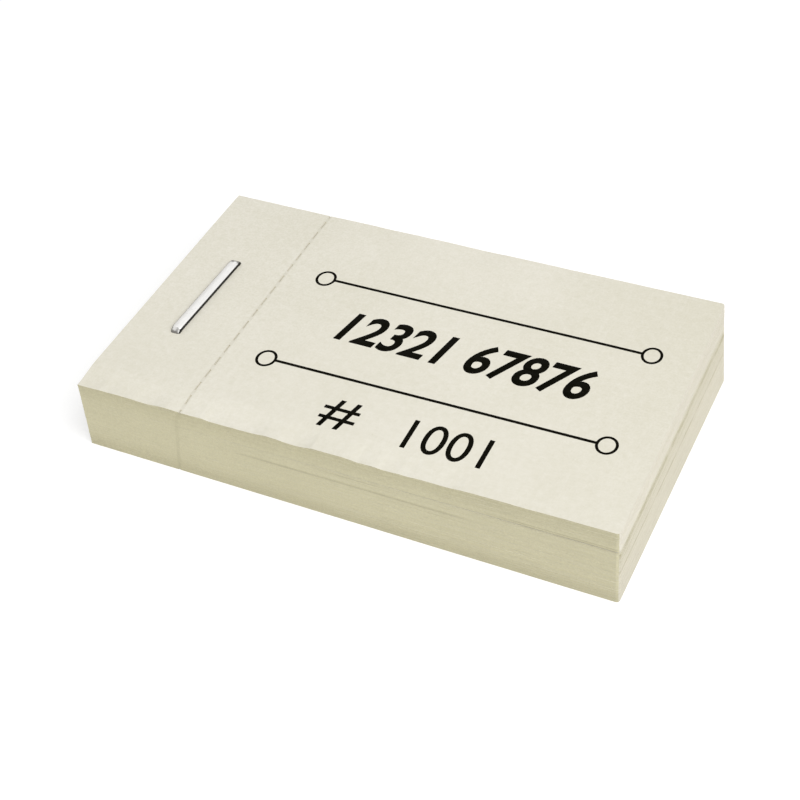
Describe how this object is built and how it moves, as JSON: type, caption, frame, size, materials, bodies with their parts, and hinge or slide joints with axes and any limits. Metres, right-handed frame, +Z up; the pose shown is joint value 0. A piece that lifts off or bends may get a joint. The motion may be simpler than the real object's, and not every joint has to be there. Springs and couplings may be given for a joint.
{
  "type": "ticket book",
  "caption": "Stapled book of small paper tickets: each leaf is a stub and a ticket that lifts and tears off along a perforated line.",
  "frame": {"origin": "middle of the face that the book lies on", "axes": "+X along the leaves from the stub end to the free end, +Y across the leaves along the perforated line, +Z up through the stack"},
  "size_m": [0.058, 0.0346, 0.0099],
  "materials": {
    "paper": "uncoated cream paper, matt, with cut edges a little yellower",
    "staple_wire": "bright zinc-coated flat wire"
  },
  "bodies": {
    "stub_block": {"staple": "staple_wire", "last_leaf": "paper", "stub_1": "paper", "stub_2": "paper", "stub_3": "paper", "stub_4": "paper", "stub_5": "paper", "stub_6": "paper", "stub_7": "paper", "stub_8": "paper", "stub_9": "paper", "stub_wad_1": "paper", "stub_wad_2": "paper", "stub_wad_3": "paper", "stub_wad_4": "paper", "stub_wad_5": "paper", "stub_wad_6": "paper", "stub_wad_7": "paper", "stub_wad_8": "paper", "stub_wad_9": "paper", "stub_wad_10": "paper", "stub_wad_11": "paper", "stub_wad_12": "paper", "stub_wad_13": "paper", "stub_wad_14": "paper", "stub_wad_15": "paper", "stub_wad_16": "paper", "stub_wad_17": "paper", "stub_wad_18": "paper"},
    "ticket_1": {"ticket_1": "paper"},
    "ticket_2": {"ticket_2": "paper"},
    "ticket_3": {"ticket_3": "paper"},
    "ticket_4": {"ticket_4": "paper"},
    "ticket_5": {"ticket_5": "paper"},
    "ticket_6": {"ticket_6": "paper"},
    "ticket_7": {"ticket_7": "paper"},
    "ticket_8": {"ticket_8": "paper"},
    "ticket_9": {"ticket_9": "paper"},
    "ticket_wad_1": {"ticket_wad_1": "paper"},
    "ticket_wad_2": {"ticket_wad_2": "paper"},
    "ticket_wad_3": {"ticket_wad_3": "paper"},
    "ticket_wad_4": {"ticket_wad_4": "paper"},
    "ticket_wad_5": {"ticket_wad_5": "paper"},
    "ticket_wad_6": {"ticket_wad_6": "paper"},
    "ticket_wad_7": {"ticket_wad_7": "paper"},
    "ticket_wad_8": {"ticket_wad_8": "paper"},
    "ticket_wad_9": {"ticket_wad_9": "paper"},
    "ticket_wad_10": {"ticket_wad_10": "paper"},
    "ticket_wad_11": {"ticket_wad_11": "paper"},
    "ticket_wad_12": {"ticket_wad_12": "paper"},
    "ticket_wad_13": {"ticket_wad_13": "paper"},
    "ticket_wad_14": {"ticket_wad_14": "paper"},
    "ticket_wad_15": {"ticket_wad_15": "paper"},
    "ticket_wad_16": {"ticket_wad_16": "paper"},
    "ticket_wad_17": {"ticket_wad_17": "paper"},
    "ticket_wad_18": {"ticket_wad_18": "paper"}
  },
  "joints": [
    {"name": "top_ticket_lift", "type": "hinge", "parent": "ticket_2", "child": "ticket_1", "pos_m": [-0.01736, 0, 0.00873], "axis": [0, -1, 0], "range_deg": [0, 105]},
    {"name": "ticket_2_riffle", "type": "hinge", "parent": "stub_block", "child": "ticket_2", "pos_m": [-0.01736, 0, 0.00873], "axis": [0, -1, 0], "range_deg": [0, 60.14]},
    {"name": "ticket_3_riffle", "type": "hinge", "parent": "stub_block", "child": "ticket_3", "pos_m": [-0.01736, 0, 0.00873], "axis": [0, -1, 0], "range_deg": [0, 59.52]},
    {"name": "ticket_4_riffle", "type": "hinge", "parent": "stub_block", "child": "ticket_4", "pos_m": [-0.01736, 0, 0.00873], "axis": [0, -1, 0], "range_deg": [0, 58.91]},
    {"name": "ticket_5_riffle", "type": "hinge", "parent": "stub_block", "child": "ticket_5", "pos_m": [-0.01736, 0, 0.00873], "axis": [0, -1, 0], "range_deg": [0, 58.3]},
    {"name": "ticket_6_riffle", "type": "hinge", "parent": "stub_block", "child": "ticket_6", "pos_m": [-0.01736, 0, 0.00873], "axis": [0, -1, 0], "range_deg": [0, 57.68]},
    {"name": "ticket_7_riffle", "type": "hinge", "parent": "stub_block", "child": "ticket_7", "pos_m": [-0.01736, 0, 0.00873], "axis": [0, -1, 0], "range_deg": [0, 57.07]},
    {"name": "ticket_8_riffle", "type": "hinge", "parent": "stub_block", "child": "ticket_8", "pos_m": [-0.01736, 0, 0.00873], "axis": [0, -1, 0], "range_deg": [0, 56.45]},
    {"name": "ticket_9_riffle", "type": "hinge", "parent": "stub_block", "child": "ticket_9", "pos_m": [-0.01736, 0, 0.00873], "axis": [0, -1, 0], "range_deg": [0, 55.84]},
    {"name": "riffle", "type": "hinge", "parent": "stub_block", "child": "ticket_wad_1", "pos_m": [-0.01736, 0, 0.00873], "axis": [0, -1, 0], "range_deg": [0, 54]},
    {"name": "ticket_wad_2_riffle", "type": "hinge", "parent": "stub_block", "child": "ticket_wad_2", "pos_m": [-0.01736, 0, 0.00873], "axis": [0, -1, 0], "range_deg": [0, 50.93]},
    {"name": "ticket_wad_3_riffle", "type": "hinge", "parent": "stub_block", "child": "ticket_wad_3", "pos_m": [-0.01736, 0, 0.00873], "axis": [0, -1, 0], "range_deg": [0, 47.86]},
    {"name": "ticket_wad_4_riffle", "type": "hinge", "parent": "stub_block", "child": "ticket_wad_4", "pos_m": [-0.01736, 0, 0.00873], "axis": [0, -1, 0], "range_deg": [0, 44.8]},
    {"name": "ticket_wad_5_riffle", "type": "hinge", "parent": "stub_block", "child": "ticket_wad_5", "pos_m": [-0.01736, 0, 0.00873], "axis": [0, -1, 0], "range_deg": [0, 41.73]},
    {"name": "ticket_wad_6_riffle", "type": "hinge", "parent": "stub_block", "child": "ticket_wad_6", "pos_m": [-0.01736, 0, 0.00873], "axis": [0, -1, 0], "range_deg": [0, 38.66]},
    {"name": "ticket_wad_7_riffle", "type": "hinge", "parent": "stub_block", "child": "ticket_wad_7", "pos_m": [-0.01736, 0, 0.00873], "axis": [0, -1, 0], "range_deg": [0, 35.59]},
    {"name": "ticket_wad_8_riffle", "type": "hinge", "parent": "stub_block", "child": "ticket_wad_8", "pos_m": [-0.01736, 0, 0.00873], "axis": [0, -1, 0], "range_deg": [0, 32.52]},
    {"name": "ticket_wad_9_riffle", "type": "hinge", "parent": "stub_block", "child": "ticket_wad_9", "pos_m": [-0.01736, 0, 0.00873], "axis": [0, -1, 0], "range_deg": [0, 29.45]},
    {"name": "ticket_wad_10_riffle", "type": "hinge", "parent": "stub_block", "child": "ticket_wad_10", "pos_m": [-0.01736, 0, 0.00873], "axis": [0, -1, 0], "range_deg": [0, 26.39]},
    {"name": "ticket_wad_11_riffle", "type": "hinge", "parent": "stub_block", "child": "ticket_wad_11", "pos_m": [-0.01736, 0, 0.00873], "axis": [0, -1, 0], "range_deg": [0, 23.32]},
    {"name": "ticket_wad_12_riffle", "type": "hinge", "parent": "stub_block", "child": "ticket_wad_12", "pos_m": [-0.01736, 0, 0.00873], "axis": [0, -1, 0], "range_deg": [0, 20.25]},
    {"name": "ticket_wad_13_riffle", "type": "hinge", "parent": "stub_block", "child": "ticket_wad_13", "pos_m": [-0.01736, 0, 0.00873], "axis": [0, -1, 0], "range_deg": [0, 17.18]},
    {"name": "ticket_wad_14_riffle", "type": "hinge", "parent": "stub_block", "child": "ticket_wad_14", "pos_m": [-0.01736, 0, 0.00873], "axis": [0, -1, 0], "range_deg": [0, 14.11]},
    {"name": "ticket_wad_15_riffle", "type": "hinge", "parent": "stub_block", "child": "ticket_wad_15", "pos_m": [-0.01736, 0, 0.00873], "axis": [0, -1, 0], "range_deg": [0, 11.05]},
    {"name": "ticket_wad_16_riffle", "type": "hinge", "parent": "stub_block", "child": "ticket_wad_16", "pos_m": [-0.01736, 0, 0.00873], "axis": [0, -1, 0], "range_deg": [0, 7.98]},
    {"name": "ticket_wad_17_riffle", "type": "hinge", "parent": "stub_block", "child": "ticket_wad_17", "pos_m": [-0.01736, 0, 0.00873], "axis": [0, -1, 0], "range_deg": [0, 4.91]},
    {"name": "ticket_wad_18_riffle", "type": "hinge", "parent": "stub_block", "child": "ticket_wad_18", "pos_m": [-0.01736, 0, 0.00873], "axis": [0, -1, 0], "range_deg": [0, 1.84]}
  ],
  "couplings": [
    {"joint": "ticket_2_riffle", "follows": "riffle", "ratio": 1.1136},
    {"joint": "ticket_3_riffle", "follows": "riffle", "ratio": 1.1023},
    {"joint": "ticket_4_riffle", "follows": "riffle", "ratio": 1.0909},
    {"joint": "ticket_5_riffle", "follows": "riffle", "ratio": 1.0795},
    {"joint": "ticket_6_riffle", "follows": "riffle", "ratio": 1.0682},
    {"joint": "ticket_7_riffle", "follows": "riffle", "ratio": 1.0568},
    {"joint": "ticket_8_riffle", "follows": "riffle", "ratio": 1.0455},
    {"joint": "ticket_9_riffle", "follows": "riffle", "ratio": 1.0341},
    {"joint": "ticket_wad_2_riffle", "follows": "riffle", "ratio": 0.94318},
    {"joint": "ticket_wad_3_riffle", "follows": "riffle", "ratio": 0.88636},
    {"joint": "ticket_wad_4_riffle", "follows": "riffle", "ratio": 0.82954},
    {"joint": "ticket_wad_5_riffle", "follows": "riffle", "ratio": 0.77273},
    {"joint": "ticket_wad_6_riffle", "follows": "riffle", "ratio": 0.71591},
    {"joint": "ticket_wad_7_riffle", "follows": "riffle", "ratio": 0.65909},
    {"joint": "ticket_wad_8_riffle", "follows": "riffle", "ratio": 0.60227},
    {"joint": "ticket_wad_9_riffle", "follows": "riffle", "ratio": 0.54546},
    {"joint": "ticket_wad_10_riffle", "follows": "riffle", "ratio": 0.48864},
    {"joint": "ticket_wad_11_riffle", "follows": "riffle", "ratio": 0.43182},
    {"joint": "ticket_wad_12_riffle", "follows": "riffle", "ratio": 0.375},
    {"joint": "ticket_wad_13_riffle", "follows": "riffle", "ratio": 0.31818},
    {"joint": "ticket_wad_14_riffle", "follows": "riffle", "ratio": 0.26136},
    {"joint": "ticket_wad_15_riffle", "follows": "riffle", "ratio": 0.20455},
    {"joint": "ticket_wad_16_riffle", "follows": "riffle", "ratio": 0.14773},
    {"joint": "ticket_wad_17_riffle", "follows": "riffle", "ratio": 0.090909},
    {"joint": "ticket_wad_18_riffle", "follows": "riffle", "ratio": 0.034091}
  ]
}
